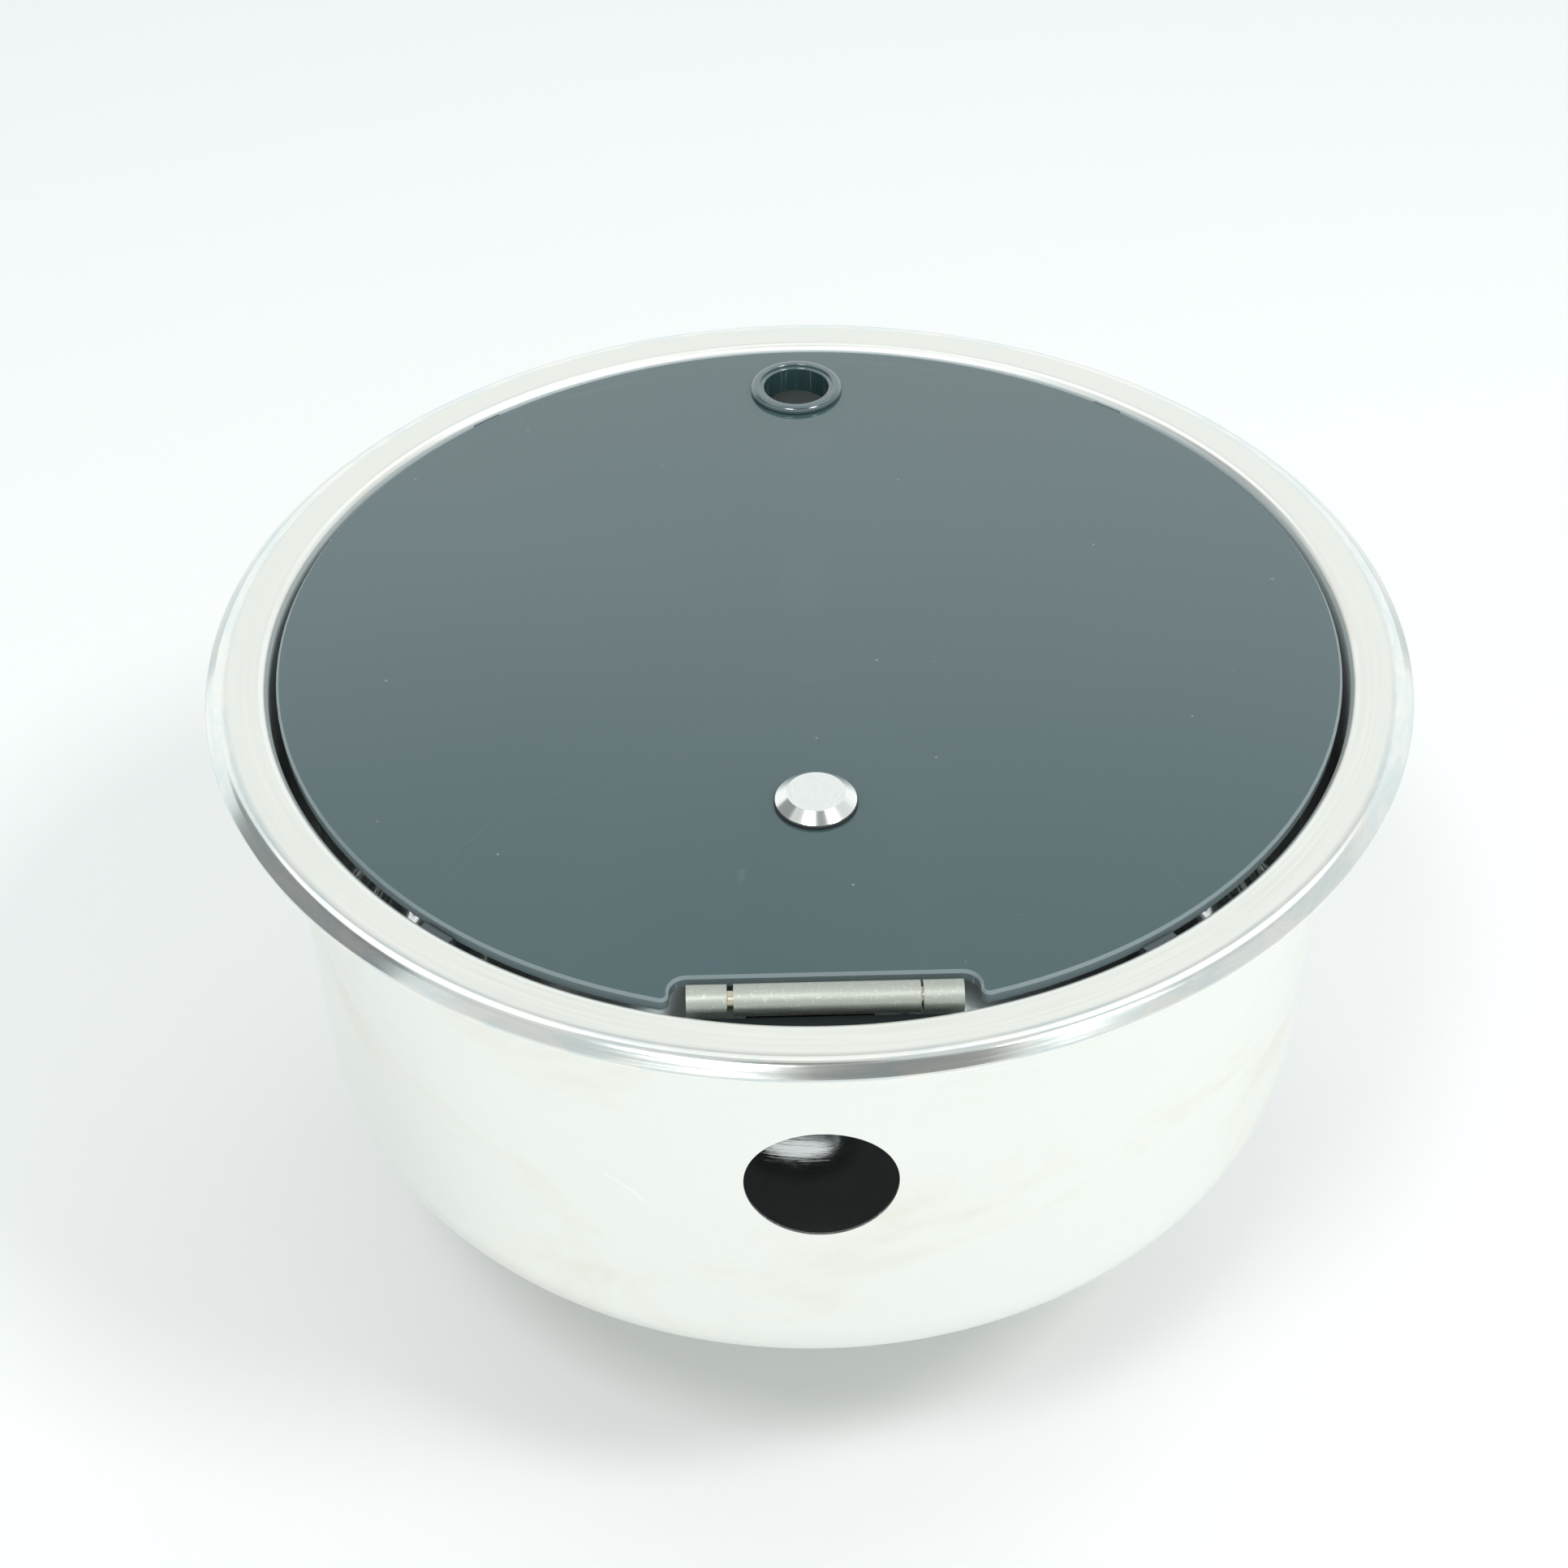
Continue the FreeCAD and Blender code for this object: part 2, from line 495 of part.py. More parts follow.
def make_hinge_bracket():
    """Upright plate with a knuckle rolled at each end, cut away where the middle knuckle turns."""
    bracket = body("HingeBracket")
    inner = "(middle_knuckle / 2 + knuckle_gap)"
    side = [(KNUCKLES_HALF, "-bracket_bottom"), (KNUCKLES_HALF, AXIS_Z), (inner, AXIS_Z),
            (inner, "-bracket_top")]
    mirrored = [("-" + x, z) for x, z in reversed(side)]
    plate = sketch_on(bracket, "XZ_Plane", PLATE_BACK + " - leaf")
    pad(bracket, outline(plate, side + mirrored), "leaf")
    pad(bracket, on_axis(bracket, "barrel_radius"), "2 * " + KNUCKLES_HALF, symmetric=True)
    relief = on_axis(bracket, "barrel_radius + knuckle_relief")
    pocket(bracket, relief, "2 * " + inner, symmetric=True)
    pocket(bracket, on_axis(bracket, "pin_radius"), symmetric=True)
    holes = sketch_on(bracket, "XZ_Plane")
    for sign in ("", "-"):
        circle(holes, sign + "fixing_x", "-fixing_drop", "fixing_radius + fixing_clearance")
    pocket(bracket, holes, "rim_radius", reverse=True)
    front = value("leaf") - value(PLATE_BACK)
    ease(bracket, "Chamfer", "fixing_head - fixing_radius - fixing_clearance",
         lambda edge: edge.Curve.TypeId == "Part::GeomCircle" and abs(edge.Curve.Center.y - front) < 0.01
         and abs(edge.Curve.Axis.y) > 0.9)
    node(bracket, "hinge_bracket")


def make_hinge_pin():
    half = KNUCKLES_HALF
    pin = revolve(body("HingePin"), [
        ("0", "-" + half), ("pin_radius - pin_bevel", "-" + half), ("pin_radius", "pin_bevel - " + half),
        ("pin_radius", half + " - pin_bevel"), ("pin_radius - pin_bevel", half), ("0", half)])
    along_x = (FreeCAD.Vector(0, 1, 0), 90)
    node(place(pin, y="axis_y", z=AXIS_Z, turn=along_x), "hinge_pin")


def drilled_for_fixings(piece):
    """Cuts the two fixing holes, along Y."""
    for sign in ("", "-"):
        drill = primitive("Cylinder", Radius="fixing_radius + fixing_clearance", Height="rim_radius")
        place(drill, sign + "fixing_x", "0", "-fixing_drop", (FreeCAD.Vector(1, 0, 0), 90))
        piece = boolean("Cut", piece, drill)
    return piece


def make_hinge_packers():
    """Saddle between the flat bracket and the round wall, and the backing strip outside the wall."""
    block = primitive("Box", Length="2 * saddle_half", Width="rim_radius - " + PLATE_BACK,
                      Height="saddle_bottom - saddle_top")
    place(block, "-saddle_half", "-rim_radius", "-saddle_bottom")
    saddle = boolean("Common", block, wall_cone("(mouth_radius - fit_gap)"))
    node(drilled_for_fixings(saddle), "hinge_saddle")
    strip = primitive("Box", Length="2 * backing_half", Width="backing_face - glass_radius",
                      Height="saddle_bottom - bracket_top")
    place(strip, "-backing_half", "-backing_face", "-saddle_bottom")
    outer_wall = wall_cone("(mouth_radius + sheet / cos(wall_draft) + fit_gap)")
    node(drilled_for_fixings(boolean("Cut", strip, outer_wall)), "hinge_backing")


def fixing_screw():
    """Countersunk screw with a hexagon socket, its head's face at its own z = 0."""
    screw = revolve(body("FixingScrew"), [
        ("0", "-fixing_length"), ("fixing_radius", "-fixing_length"),
        ("fixing_radius", "fixing_radius - fixing_head"), ("fixing_head", "0"), ("0", "0")])
    hexagon = [("fixing_socket * cos(%d)" % a, "fixing_socket * sin(%d)" % a) for a in range(0, 360, 60)]
    pocket(screw, outline(sketch_on(screw, "XY_Plane"), hexagon), "fixing_socket_depth")
    return screw


def make_hinge_fixings():
    """Two screws from inside the bowl, each with a washer and a nut on the backing strip."""
    inwards = (FreeCAD.Vector(1, 0, 0), -90)
    plate_front = "leaf - " + PLATE_BACK
    washer_back = "-backing_face - fixing_washer"
    screws, washers, nuts = [], [], []
    for x in ("fixing_x", "-fixing_x"):
        screws.append(place(fixing_screw(), x, plate_front, "-fixing_drop", inwards))
        washer = tube("fixing_washer_radius", "fixing_radius + pin_clearance", "fixing_washer")
        washers.append(place(washer, x, washer_back, "-fixing_drop", inwards))
        nut = hex_nut("fixing_nut_corner", "fixing_radius", "fixing_nut")
        nuts.append(place(nut, x, washer_back + " - fixing_nut", "-fixing_drop", inwards))
    node(compound(screws), "hinge_screws")
    node(compound(washers), "hinge_washers")
    node(compound(nuts), "hinge_nuts")


# ---------------------------------------------------------------- build, check and write
make_bowl()
make_rim_seal()
make_lid_bumpers()
make_drain_flange()
make_drain_gaskets()
make_drain_body()
make_drain_screw()
make_drain_plug()
make_lid_glass()
make_finger_ring()
make_glass_clamp()
make_hinge_leaf()
make_hinge_bracket()
make_hinge_pin()
make_hinge_packers()
make_hinge_fixings()
doc.recompute()

for item in doc.Objects:
    if {"Invalid", "Error"} & set(item.State):
        raise RuntimeError("%s failed: %s" % (item.Name, item.State))
for piece in nodes:
    if piece.Shape.isNull() or not piece.Shape.isValid():
        raise RuntimeError("%s has no valid shape" % piece.Label)

os.makedirs("parts", exist_ok=True)
for piece in nodes:
    piece.Shape.exportStep("parts/%s.step" % piece.Label)
    print("%-20s %2d solid(s) %12.1f mm3" % (piece.Label, len(piece.Shape.Solids), piece.Shape.Volume))
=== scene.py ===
import json
import math

import bmesh
import bpy
from mathutils import Matrix, Vector


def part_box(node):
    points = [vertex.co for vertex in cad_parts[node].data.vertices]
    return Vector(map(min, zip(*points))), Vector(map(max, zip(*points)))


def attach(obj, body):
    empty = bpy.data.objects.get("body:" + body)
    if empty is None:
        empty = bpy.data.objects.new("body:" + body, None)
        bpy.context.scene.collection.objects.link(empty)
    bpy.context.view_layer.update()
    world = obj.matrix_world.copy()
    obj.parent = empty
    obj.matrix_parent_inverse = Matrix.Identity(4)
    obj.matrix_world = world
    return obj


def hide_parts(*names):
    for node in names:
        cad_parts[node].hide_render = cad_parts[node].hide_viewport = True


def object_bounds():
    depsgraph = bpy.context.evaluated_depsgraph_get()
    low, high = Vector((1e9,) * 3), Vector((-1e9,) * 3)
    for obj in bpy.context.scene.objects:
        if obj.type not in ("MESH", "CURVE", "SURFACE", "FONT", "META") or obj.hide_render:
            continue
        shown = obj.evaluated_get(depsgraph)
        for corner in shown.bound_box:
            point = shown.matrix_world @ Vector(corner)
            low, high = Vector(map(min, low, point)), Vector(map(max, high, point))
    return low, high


# Looks for the round galley sink, in metres, in the frame's own axes. +Z is up, and the hinge is on -Y.
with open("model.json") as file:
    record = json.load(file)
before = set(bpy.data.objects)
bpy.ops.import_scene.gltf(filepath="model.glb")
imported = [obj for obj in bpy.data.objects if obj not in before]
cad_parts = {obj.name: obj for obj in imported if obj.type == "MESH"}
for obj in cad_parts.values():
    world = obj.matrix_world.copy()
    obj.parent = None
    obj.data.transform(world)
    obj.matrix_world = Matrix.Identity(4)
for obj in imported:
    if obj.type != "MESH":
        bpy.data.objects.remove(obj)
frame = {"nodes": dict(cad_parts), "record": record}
cad_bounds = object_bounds()

# ---------------------------------------------------------------- measures
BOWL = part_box("bowl")
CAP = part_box("clamp_cap")
RIM_RADIUS = BOWL[1][0]
RIM_TOP = BOWL[1][2]
BOWL_BOTTOM = BOWL[0][2]
GROUND = cad_bounds[0][2]
MOUNTS = {mount["name"]: mount for mount in frame["record"]["mounts"]}

# The pressed sheet: its line runs from the rim's edge over the rim, down the wall and in to the drain.
SHEET = 0.0009
LIP_EDGE = 0.0007
LIP_ROUND = 0.0012
BEVEL_ANGLE = math.radians(39.0)
BEVEL_ROUND = 0.006
MOUTH_RADIUS = 0.1885
MOUTH_ROUND = 0.004
BOWL_DEPTH = 0.180
WALL_DRAFT = math.radians(1.8)
CORNER_ROUND = 0.031
RECESS_RADIUS = 0.0365
RECESS_DEPTH = 0.0025
RECESS_ROUND = 0.002
DRAIN_RADIUS = 0.024
SIDE_HOLE_RADIUS = 0.025
FIXING_HOLE_RADIUS = 0.0023
TURNS = 384
DRILL_SIDES = 96
ARC_STEP = math.radians(5.0)
SHARP_ANGLE = math.radians(35.0)

# Where the bowl's finish changes: heights or radii at which each effect is nothing, and is full.
FLAT_TOP = (RIM_TOP - 0.0006, RIM_TOP - 0.0001)
POLISHED_EDGE = (RIM_RADIUS - 0.0086, RIM_RADIUS - 0.0068)
ABOVE_LIP = (-0.0005, 0.0)
BELOW_RIM = (RIM_TOP - 0.001, RIM_TOP - 0.003)
# The band below the mouth where light coming in through the glass is painted on the wall, as a dull teal
# band.
PAINTED_LIGHT_BAND = (RIM_TOP - 0.050, RIM_TOP - 0.012)
WORN_FLOOR = (0.062, 0.046)


# ---------------------------------------------------------------- pressed bowl
def rounded(corners):
    """(point, normal) pairs down a line of (radius, height, rounding) corners, with two plain ends."""
    points = [Vector(corner[:2]) for corner in corners]
    heading = (points[1] - points[0]).normalized()
    line = [(points[0], Vector((heading.y, -heading.x)))]
    for before, here, after, corner in zip(points, points[1:], points[2:], corners[1:]):
        heading = (here - before).normalized()
        leaving = (after - here).normalized()
        turn = math.atan2(heading.cross(leaving), heading.dot(leaving))
        rounding = math.copysign(corner[2], turn)
        entry = here - heading * rounding * math.tan(turn / 2)
        centre = entry + Vector((-heading.y, heading.x)) * rounding
        steps = math.ceil(abs(turn) / ARC_STEP)
        for step in range(steps + 1):
            along = Matrix.Rotation(turn * step / steps, 2) @ heading
            normal = Vector((along.y, -along.x))
            line.append((centre + normal * rounding, normal))
    line.append((points[-1], line[-1][1]))
    return line


def sheet_outline():
    """The closed (radius, height) outline of the bowl's sheet: its upper side, then its lower side."""
    foot = MOUTH_RADIUS - BOWL_DEPTH * math.tan(WALL_DRAFT)
    recess_floor = BOWL_BOTTOM + SHEET
    line = rounded([
        (RIM_RADIUS, 0.0, 0.0),
        (RIM_RADIUS, LIP_EDGE, LIP_ROUND),
        (RIM_RADIUS - (RIM_TOP - LIP_EDGE) / math.tan(BEVEL_ANGLE), RIM_TOP, BEVEL_ROUND),
        (MOUTH_RADIUS, RIM_TOP, MOUTH_ROUND),
        (foot, RIM_TOP - BOWL_DEPTH, CORNER_ROUND),
        (RECESS_RADIUS + RECESS_DEPTH, recess_floor + RECESS_DEPTH, RECESS_ROUND),
        (RECESS_RADIUS, recess_floor, RECESS_ROUND - SHEET),
        (DRAIN_RADIUS, recess_floor, 0.0)])
    upper = [point for point, normal in line]
    lower = [point - normal * SHEET for point, normal in line]
    return upper + lower[::-1]


def turned(outline):
    """A mesh of revolution about Z from a closed (radius, height) outline."""
    mesh = bmesh.new()
    rings = []
    for turn in range(TURNS):
        angle = 2 * math.pi * turn / TURNS
        across = (math.cos(angle), math.sin(angle))
        rings.append([mesh.verts.new((r * across[0], r * across[1], z)) for r, z in outline])
    for ring, following in zip(rings, rings[1:] + rings[:1]):
        for index in range(len(outline)):
            mesh.faces.new((ring[index - 1], ring[index], following[index], following[index - 1]))
    bmesh.ops.recalc_face_normals(mesh, faces=mesh.faces)
    return mesh


def object_from(mesh, name):
    """A new object that holds a bmesh."""
    data = bpy.data.meshes.new(name)
    mesh.to_mesh(data)
    mesh.free()
    item = bpy.data.objects.new(name, data)
    bpy.context.scene.collection.objects.link(item)
    return item


def wall_drill(x, z, radius):
    """A bar along Y that passes through the wall on the hinge side."""
    near, far = -RIM_RADIUS, -MOUTH_RADIUS / 2
    place = Matrix.Translation((x, (near + far) / 2, z)) @ Matrix.Rotation(math.pi / 2, 4, "X")
    bar = bmesh.new()
    bmesh.ops.create_cone(bar, cap_ends=True, segments=DRILL_SIDES, radius1=radius, radius2=radius,
                          depth=far - near, matrix=place)
    return bar


def bowl_shell():
    """The bowl again at its own size, in finer steps, so that its rolled edges reflect without facets."""
    shell = object_from(turned(sheet_outline()), "bowl_shell")
    port = MOUNTS["side_port"]["pos_m"]
    drills = [(port[0], port[2], SIDE_HOLE_RADIUS)]
    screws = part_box("hinge_screws")
    head_radius = (screws[1].z - screws[0].z) / 2
    for x in (screws[0].x + head_radius, screws[1].x - head_radius):
        drills.append((x, (screws[0].z + screws[1].z) / 2, FIXING_HOLE_RADIUS))
    bars = [object_from(wall_drill(*drill), "bar") for drill in drills]
    for bar in bars:
        cut = shell.modifiers.new("hole", "BOOLEAN")
        cut.operation = "DIFFERENCE"
        cut.solver = "EXACT"
        cut.object = bar
    drilled = shell.evaluated_get(bpy.context.evaluated_depsgraph_get())
    shell.data = bpy.data.meshes.new_from_object(drilled)
    shell.modifiers.clear()
    for bar in bars:
        bpy.data.meshes.remove(bar.data)
    shell.data.shade_smooth()
    shell.data.set_sharp_from_angle(angle=SHARP_ANGLE)
    even = shell.modifiers.new("even_normals", "WEIGHTED_NORMAL")
    even.keep_sharp = True
    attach(shell, "sink")
    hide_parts("bowl")
    return shell


# ---------------------------------------------------------------- node helpers
class Nodes:
    """Short calls that add nodes to a node tree."""

    def __init__(self, tree):
        self.tree = tree
        self.coordinates = None

    def node(self, kind, inputs=None, **settings):
        """A node whose inputs, by name or index, are either numbers or other nodes' outputs."""
        node = self.tree.nodes.new(kind)
        for name, setting in settings.items():
            setattr(node, name, setting)
        for key, item in (inputs or {}).items():
            if isinstance(item, bpy.types.NodeSocket):
                self.tree.links.new(item, node.inputs[key])
            else:
                node.inputs[key].default_value = item
        return node

    def place(self, output="Object"):
        """The object's own coordinates, or its own normals."""
        if self.coordinates is None:
            self.coordinates = self.node("ShaderNodeTexCoord")
        return self.coordinates.outputs[output]

    def math(self, operation, first, second=0.0, third=0.0):
        node = self.node("ShaderNodeMath", {0: first, 1: second, 2: third}, operation=operation)
        return node.outputs[0]

    def product(self, first, second):
        return self.math("MULTIPLY", first, second)

    def part(self, vector, axis):
        return self.node("ShaderNodeSeparateXYZ", {0: vector}).outputs[axis]

    def moved(self, vector, move=(0, 0, 0), turn=(0, 0, 0), scale=(1, 1, 1)):
        inputs = {"Vector": vector, "Location": move, "Rotation": turn, "Scale": scale}
        return self.node("ShaderNodeMapping", inputs).outputs[0]

    def noise(self, vector, scale, detail=3.0, roughness=0.5, distortion=0.0):
        inputs = {"Vector": vector, "Scale": scale, "Detail": detail, "Roughness": roughness,
                  "Distortion": distortion}
        return self.node("ShaderNodeTexNoise", inputs).outputs[0]

    def ramp(self, factor, low, high, low_out=0.0, high_out=1.0):
        """A smooth step from low_out at low to high_out at high."""
        inputs = {"Value": factor, "From Min": low, "From Max": high, "To Min": low_out, "To Max": high_out}
        return self.node("ShaderNodeMapRange", inputs, interpolation_type="SMOOTHSTEP").outputs[0]

    def between(self, factor, first, second):
        """A number between two numbers."""
        return self.node("ShaderNodeMix", {0: factor, 2: first, 3: second}).outputs[0]

    def blend(self, factor, first, second):
        """A colour between two colours."""
        inputs = {0: factor}
        for index, item in ((6, first), (7, second)):
            inputs[index] = item if isinstance(item, bpy.types.NodeSocket) else (*item, 1.0)
        return self.node("ShaderNodeMix", inputs, data_type="RGBA").outputs[2]


class Shader(Nodes):
    """A material with a Principled shader."""

    def __init__(self, name, color, roughness, metallic=0.0, **settings):
        self.material = bpy.data.materials.new(name)
        self.material.use_nodes = True
        super().__init__(self.material.node_tree)
        self.shader = self.tree.nodes["Principled BSDF"]
        self.set("Base Color", (*color, 1.0))
        self.set("Roughness", roughness)
        self.set("Metallic", metallic)
        for socket, setting in settings.items():
            self.set(socket.replace("_", " "), setting)

    def set(self, socket, setting):
        self.shader.inputs[socket].default_value = setting

    def feed(self, socket, output):
        self.tree.links.new(output, self.shader.inputs[socket])

    def radius(self, centre=(0, 0, 0)):
        """Distance from a line parallel to Z through a point."""
        flat = self.moved(self.place(), move=[-c for c in centre], scale=(1, 1, 0))
        return self.node("ShaderNodeVectorMath", {0: flat}, operation="LENGTH").outputs["Value"]

    def around(self, centre=(0, 0, 0)):
        """(radius, angle, height) about a line parallel to Z, as a vector for textures turned on it."""
        moved = self.moved(self.place(), move=[-c for c in centre])
        angle = self.math("ARCTAN2", self.part(moved, 1), self.part(moved, 0))
        inputs = {0: self.radius(centre), 1: angle, 2: self.part(moved, 2)}
        return self.node("ShaderNodeCombineXYZ", inputs).outputs[0]

    def bump(self, height, distance, strength=1.0):
        inputs = {"Height": height, "Distance": distance, "Strength": strength}
        self.feed("Normal", self.node("ShaderNodeBump", inputs).outputs[0])


def stained(steel):
    """The bowl's satin colour, with clouds of water stain and a few thin scratches."""
    clouds = steel.noise(steel.moved(steel.place(), scale=(9.0, 9.0, 15.0)), 1.0, 5.0, 0.62, 0.6)
    stain = steel.ramp(clouds, 0.46, 0.70)
    satin = steel.blend(stain, (0.885, 0.895, 0.855), (0.832, 0.825, 0.755))
    threads = steel.noise(steel.moved(steel.place(), scale=(7.0, 7.0, 11.0)), 1.0, 1.0, 0.5, 1.2)
    off_thread = steel.math("ABSOLUTE", steel.math("SUBTRACT", threads, 0.5))
    where = steel.noise(steel.place(), 26.0, 2.0)
    scratch = steel.product(steel.ramp(off_thread, 0.0030, 0.0012), steel.ramp(where, 0.64, 0.70))
    return steel.blend(scratch, satin, (0.97, 0.975, 0.96))


def bowl_steel():
    """Pressed steel: satin outside and on the rim, and polished inside and at the edge.
    A dull teal band of painted light lies on the wall near the mouth, standing in for light that comes in
    through the glass, and the floor is worn round the drain."""
    steel = Shader("bowl_steel_look", (0.90, 0.90, 0.87), 0.36, 1.0)
    around = steel.around()
    height = steel.part(steel.place(), 2)
    radius = steel.radius()
    facing_up = steel.part(steel.place("Normal"), 2)
    outwards = steel.node("ShaderNodeVectorMath", {0: steel.place(), 1: steel.place("Normal")},
                          operation="DOT_PRODUCT").outputs["Value"]
    brushing = steel.noise(steel.moved(around, scale=(900.0, 2.2, 900.0)), 1.0, 4.0, 0.6)
    mottling = steel.noise(steel.moved(around, scale=(120.0, 7.0, 120.0)), 1.0, 4.0, 0.65, 0.8)
    waves = steel.noise(steel.moved(around, scale=(60.0, 9.0, 60.0)), 1.0, 2.0, 0.5)

    top = steel.product(steel.ramp(height, *FLAT_TOP), steel.ramp(facing_up, 0.93, 0.99))
    edge = steel.product(steel.ramp(radius, *POLISHED_EDGE), steel.ramp(height, *ABOVE_LIP))
    inside = steel.product(steel.ramp(height, *BELOW_RIM), steel.ramp(outwards, 0.0, -0.01))
    # Painted light: the band below the mouth is made dull and teal, standing in for light that comes in
    # through the glass.
    painted_light_band = steel.ramp(height, *PAINTED_LIGHT_BAND)
    worn = steel.ramp(radius, *WORN_FLOOR)

    outer_color = steel.blend(top, stained(steel), (0.86, 0.87, 0.81))
    edge_color = steel.blend(steel.ramp(mottling, 0.36, 0.64), (0.77, 0.84, 0.82), (0.905, 0.90, 0.845))
    # The teal colour in the band below the mouth is painted light from the glass.
    inner_color = steel.blend(painted_light_band, (0.87, 0.89, 0.875), (0.79, 0.88, 0.885))
    color = steel.blend(edge, outer_color, edge_color)
    steel.feed("Base Color", steel.blend(inside, color, inner_color))

    satin = steel.ramp(brushing, 0.25, 0.75, 0.30, 0.42)
    buffed = steel.ramp(brushing, 0.25, 0.75, 0.08, 0.16)
    bright = steel.ramp(brushing, 0.25, 0.75, 0.01, 0.04)
    inner_shine = steel.between(painted_light_band, steel.between(worn, bright, 0.30), 0.32)
    outer_shine = steel.between(edge, satin, buffed)
    steel.feed("Roughness", steel.between(inside, outer_shine, inner_shine))
    inner_metal = steel.ramp(painted_light_band, 0.0, 1.0, 0.80, 0.22)
    steel.feed("Metallic", steel.between(inside, 1.0, inner_metal))

    waviness = steel.product(waves, steel.product(edge, 8.0))
    steel.bump(steel.math("ADD", waviness, brushing), 0.00002, 0.35)
    return steel.material


def hinge_steel():
    """Grey satin steel with its grain along the hinge, and lighter worn specks."""
    steel = Shader("hinge_steel_look", (0.52, 0.54, 0.49), 0.36, 1.0)
    grain = steel.noise(steel.moved(steel.place(), scale=(60.0, 1400.0, 1400.0)), 1.0, 4.0, 0.6)
    specks = steel.noise(steel.place(), 900.0, 3.0, 0.7)
    worn = steel.ramp(specks, 0.55, 0.72)
    steel.feed("Base Color", steel.blend(worn, (0.45, 0.475, 0.425), (0.64, 0.65, 0.61)))
    steel.feed("Roughness", steel.ramp(grain, 0.3, 0.7, 0.40, 0.56))
    steel.bump(grain, 0.00002, 0.4)
    return steel.material


def pin_steel():
    """Bare turned steel, painted a warm tan that stands in for warm reflections on steel in shade."""
    steel = Shader("pin_steel_look", (0.60, 0.55, 0.44), 0.33, 1.0)
    grain = steel.noise(steel.moved(steel.place(), scale=(2500.0, 30.0, 30.0)), 1.0, 3.0)
    steel.feed("Roughness", steel.ramp(grain, 0.3, 0.7, 0.25, 0.42))
    # The warm tan colours are painted reflection, standing in for warm light on steel in shade.
    steel.feed("Base Color", steel.blend(grain, (0.56, 0.50, 0.38), (0.66, 0.61, 0.50)))
    return steel.material


def polished_steel():
    """Polished turned parts: the flats that face up are satin, with fine rings, and the rest is mirror."""
    steel = Shader("polished_steel_look", (0.93, 0.94, 0.91), 0.16, 1.0)
    centre = [(low + high) / 2 for low, high in zip(*CAP)]
    rings = steel.noise(steel.moved(steel.around(centre), scale=(4000.0, 1.5, 0.0)), 1.0, 3.0)
    flat = steel.ramp(steel.part(steel.place("Normal"), 2), 0.95, 0.99)
    satin = steel.ramp(rings, 0.3, 0.7, 0.26, 0.38)
    steel.feed("Roughness", steel.between(flat, 0.16, satin))
    steel.feed("Base Color", steel.blend(rings, (0.86, 0.89, 0.85), (0.92, 0.94, 0.90)))
    return steel.material


def fastener_steel():
    """Plain steel, for screws, washers and nuts."""
    steel = Shader("fastener_steel_look", (0.62, 0.62, 0.61), 0.30, 1.0)
    grain = steel.noise(steel.place(), 1200.0, 3.0)
    steel.feed("Roughness", steel.ramp(grain, 0.3, 0.7, 0.22, 0.40))
    steel.feed("Base Color", steel.blend(grain, (0.56, 0.56, 0.55), (0.68, 0.68, 0.67)))
    return steel.material


def smoked_glass():
    """Dark smoked glass with a ground edge and a few specks of dust."""
    glass = Shader("smoked_glass_look", (0.05, 0.097, 0.102), 0.06, IOR=1.5, Coat_Weight=1.0,
                   Coat_Roughness=0.04, Alpha=0.90)
    facing = glass.math("ABSOLUTE", glass.part(glass.place("Normal"), 2))
    ground = glass.ramp(facing, 0.97, 0.90)
    cells = glass.node("ShaderNodeTexVoronoi", {"Vector": glass.place(), "Scale": 130.0})
    motes = cells.outputs["Distance"]
    chosen = glass.noise(glass.place(), 60.0, 1.0)
    dust = glass.product(glass.ramp(motes, 0.09, 0.05), glass.ramp(chosen, 0.62, 0.66))
    haze = glass.noise(glass.place(), 7.0, 4.0)
    body = glass.blend(haze, (0.043, 0.090, 0.098), (0.056, 0.103, 0.106))
    dusted = glass.blend(glass.product(dust, 0.3), body, (0.45, 0.48, 0.46))
    glass.feed("Base Color", glass.blend(ground, dusted, (0.19, 0.25, 0.26)))
    glass.feed("Roughness", glass.ramp(ground, 0.0, 1.0, 0.07, 0.5))
    return glass.material


def ring_plastic():
    """Dark, glossy moulded plastic."""
    plastic = Shader("ring_plastic_look", (0.04, 0.07, 0.075), 0.14, IOR=1.85, Coat_Weight=1.0,
                     Coat_Roughness=0.03)
    grain = plastic.noise(plastic.place(), 1500.0, 3.0)
    plastic.feed("Roughness", plastic.ramp(grain, 0.3, 0.7, 0.10, 0.18))
    plastic.feed("Base Color", plastic.blend(grain, (0.028, 0.068, 0.073), (0.040, 0.084, 0.090)))
    return plastic.material


def rubber(name, dark, light, roughness, scale=1800.0, gloss=0.5):
    """Moulded rubber, foam or matte plastic with a fine grain."""
    look = Shader(name, dark, roughness, Specular_IOR_Level=gloss)
    grain = look.noise(look.place(), scale, 4.0, 0.6)
    look.feed("Base Color", look.blend(grain, dark, light))
    look.feed("Roughness", look.ramp(grain, 0.3, 0.7, roughness - 0.06, roughness + 0.06))
    look.bump(grain, 0.00003, 0.5)
    return look.material


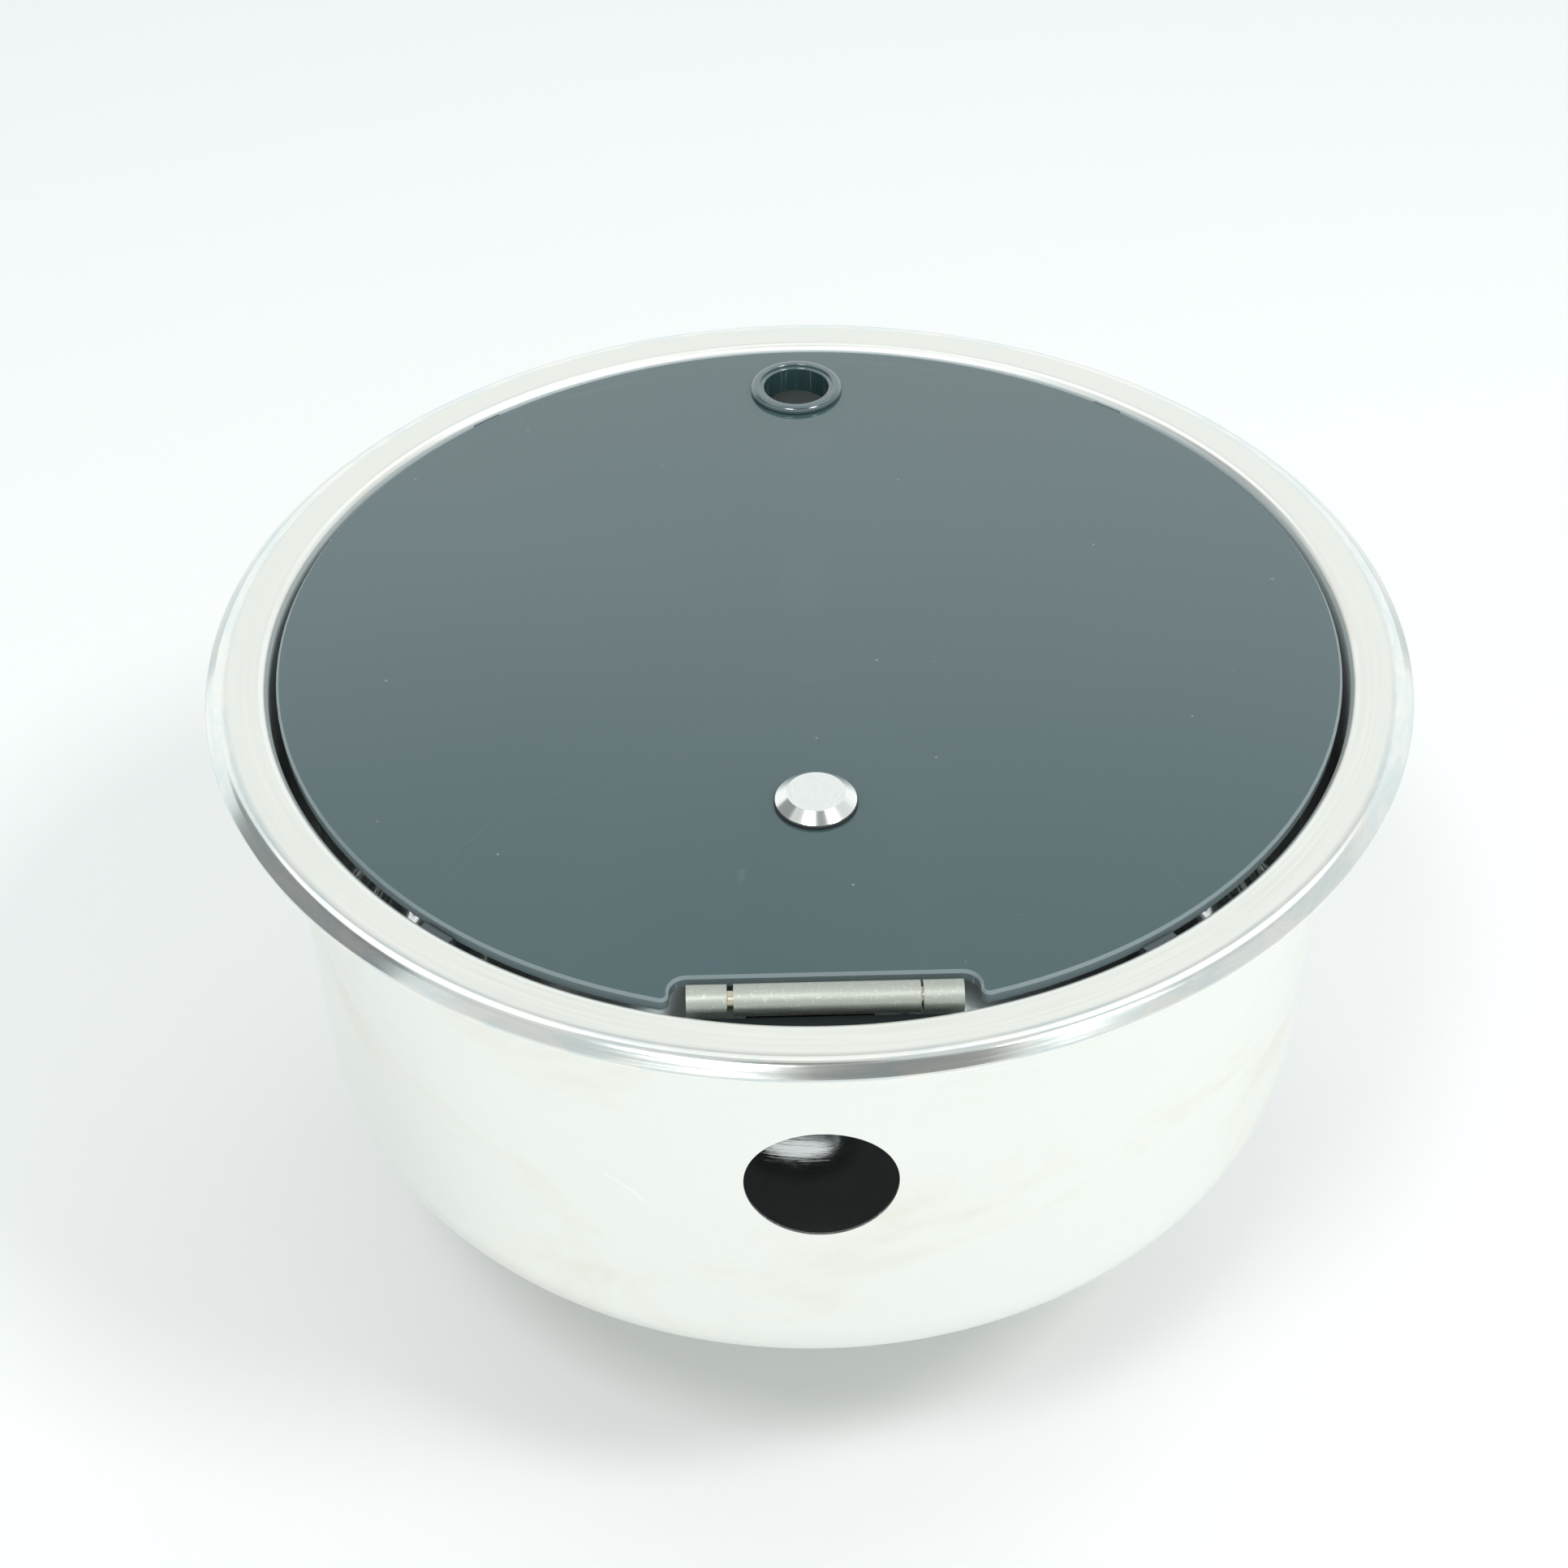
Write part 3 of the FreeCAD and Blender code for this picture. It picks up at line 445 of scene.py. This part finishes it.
LOOKS = {
    "bowl_steel": bowl_steel(),
    "hinge_steel": hinge_steel(),
    "pin_steel": pin_steel(),
    "polished_steel": polished_steel(),
    "fastener_steel": fastener_steel(),
    "smoked_glass": smoked_glass(),
    "ring_plastic": ring_plastic(),
    "gasket_rubber": rubber("gasket_rubber_look", (0.012, 0.014, 0.015), (0.03, 0.03, 0.03), 0.6),
    "plug_rubber": rubber("plug_rubber_look", (0.015, 0.015, 0.016), (0.035, 0.035, 0.036), 0.45),
    "bumper_rubber": rubber("bumper_rubber_look", (0.035, 0.050, 0.055), (0.075, 0.095, 0.100), 0.32),
    "seal_foam": rubber("seal_foam_look", (0.03, 0.03, 0.03), (0.07, 0.07, 0.07), 0.9, 900.0),
    # The packer is black plastic made darker and less glossy than plain plastic: partly painted shade,
    # standing in for the shade under the hinge.
    "packer_plastic": rubber("packer_plastic_and_shade_look", (0.006, 0.010, 0.011), (0.016, 0.022, 0.024), 0.6,
                             gloss=0.15),
    "waste_plastic": rubber("waste_plastic_look", (0.02, 0.02, 0.021), (0.04, 0.04, 0.042), 0.42, 1100.0),
}
for entry in frame["record"]["subparts"]:
    node = frame["nodes"][entry["node"]]
    node.data.materials.clear()
    node.data.materials.append(LOOKS[entry["material_slot"]])
bowl_shell().data.materials.append(LOOKS["bowl_steel"])

# ---------------------------------------------------------------- camera
LENS = 65.22
SENSOR = 36.0
ELEVATION = math.radians(40.846)
AZIMUTH = math.radians(0.8)
ROLL = math.radians(-0.79)
DISTANCE = 0.9964
AIM_RIGHT = 0.00843
AIM_DOWN = -0.0521

down = Vector((0, -math.sin(ELEVATION), -math.cos(ELEVATION)))
forward = Vector((0, math.cos(ELEVATION), -math.sin(ELEVATION)))
right = Vector((1, 0, 0))
rows = Matrix((right, down, forward))
roll = Matrix(((math.cos(ROLL), -math.sin(ROLL), 0), (math.sin(ROLL), math.cos(ROLL), 0), (0, 0, 1)))
turn = Matrix.Rotation(AZIMUTH, 3, "Z")
to_camera = roll @ rows @ turn
offset = Vector((AIM_RIGHT, AIM_DOWN, DISTANCE))
position = Vector((0, 0, RIM_TOP)) - to_camera.transposed() @ offset
axes = Matrix((to_camera[0], -to_camera[1], -to_camera[2])).transposed()
camera = bpy.data.objects.new("camera", bpy.data.cameras.new("camera"))
camera.data.lens = LENS
camera.data.sensor_width = SENSOR
camera.data.clip_start = 0.01
camera.matrix_world = Matrix.Translation(position) @ axes.to_4x4()
bpy.context.scene.collection.objects.link(camera)
bpy.context.scene.camera = camera


# ---------------------------------------------------------------- floor, light and world
def plane(name, size, z):
    """A square sheet that faces up."""
    mesh = bpy.data.meshes.new(name)
    half = size / 2
    corners = [(-half, -half, z), (half, -half, z), (half, half, z), (-half, half, z)]
    mesh.from_pydata(corners, [], [(0, 1, 2, 3)])
    item = bpy.data.objects.new(name, mesh)
    bpy.context.scene.collection.objects.link(item)
    return item


FLOOR_SIZE = 60.0
FLOOR_GAP = 0.0002
floor = plane("floor", FLOOR_SIZE, GROUND - FLOOR_GAP)
floor_look = Shader("floor_look", (0.87, 0.885, 0.875), 0.9)
floor.data.materials.append(floor_look.material)


def pointing(azimuth, elevation):
    """A direction. Azimuth 0 is on the -Y side, where the camera is, and 90 is on the +X side."""
    a, e = math.radians(azimuth), math.radians(elevation)
    return Vector((math.sin(a) * math.cos(e), -math.cos(a) * math.cos(e), math.sin(e)))


def softbox(name, azimuth, elevation, distance, width, height, power, aim=(0, 0, -0.05)):
    """A rectangular light that faces a point."""
    data = bpy.data.lights.new(name, "AREA")
    data.shape = "RECTANGLE"
    data.size = width
    data.size_y = height
    data.energy = power
    lamp = bpy.data.objects.new(name, data)
    away = pointing(azimuth, elevation)
    lamp.location = Vector(aim) + away * distance
    lamp.rotation_euler = away.to_track_quat("Z", "Y").to_euler()
    bpy.context.scene.collection.objects.link(lamp)


softbox("overhead", 180, 68, 2.6, 2.2, 1.4, 3.5)
softbox("left", -27, 60, 2.3, 0.60, 0.50, 12.0)
softbox("right", 58, 54, 2.3, 0.50, 0.50, 15.0)

# A plain bright studio. Each patch is (azimuth, elevation, half-width in degrees, softness, brightness).
WORLD_COLOR = (0.955, 0.985, 1.0)
WORLD_LEVEL = 0.92
WORLD_PATCHES = (
    (20.0, 60.5, 11.0, 6.0, 0.40),
    (0.0, 82.0, 4.0, 5.0, 0.40),
    (-60.0, 53.0, 11.0, 6.0, 0.88),
    (-106.0, 33.0, 17.0, 5.0, 0.34),
    (92.0, 40.0, 15.0, 14.0, 0.86),
    (-134.0, 57.0, 9.0, 9.0, 1.85),
    (134.0, 57.0, 9.0, 9.0, 1.85),
)


def studio_world():
    """Bright all round, a little darker overhead, with the patches and a lighter low band behind."""
    world = bpy.data.worlds.new("studio")
    world.use_nodes = True
    nodes = Nodes(world.node_tree)
    direction = nodes.place("Generated")
    height = nodes.part(direction, 2)
    brightness = nodes.ramp(height, 0.55, 0.85, 1.0, 0.80)
    for azimuth, elevation, half_width, softness, level in WORLD_PATCHES:
        toward = pointing(azimuth, elevation)
        nearness = nodes.node("ShaderNodeVectorMath", {0: direction, 1: toward}, operation="DOT_PRODUCT")
        outer = math.cos(math.radians(half_width + softness))
        inner = math.cos(math.radians(half_width))
        patch = nodes.ramp(nearness.outputs["Value"], outer, inner, 1.0, level)
        brightness = nodes.product(brightness, patch)
    back = nodes.ramp(height, 0.58, 0.70, 1.18, 0.82)
    behind = nodes.ramp(nodes.part(direction, 1), 0.3, 0.7)
    shaded = nodes.between(behind, 1.0, back)
    strength = nodes.product(nodes.product(brightness, shaded), WORLD_LEVEL)
    background = world.node_tree.nodes["Background"]
    background.inputs["Color"].default_value = (*WORLD_COLOR, 1.0)
    world.node_tree.links.new(strength, background.inputs["Strength"])
    return world


bpy.context.scene.world = studio_world()
bpy.context.scene.view_settings.view_transform = "Standard"
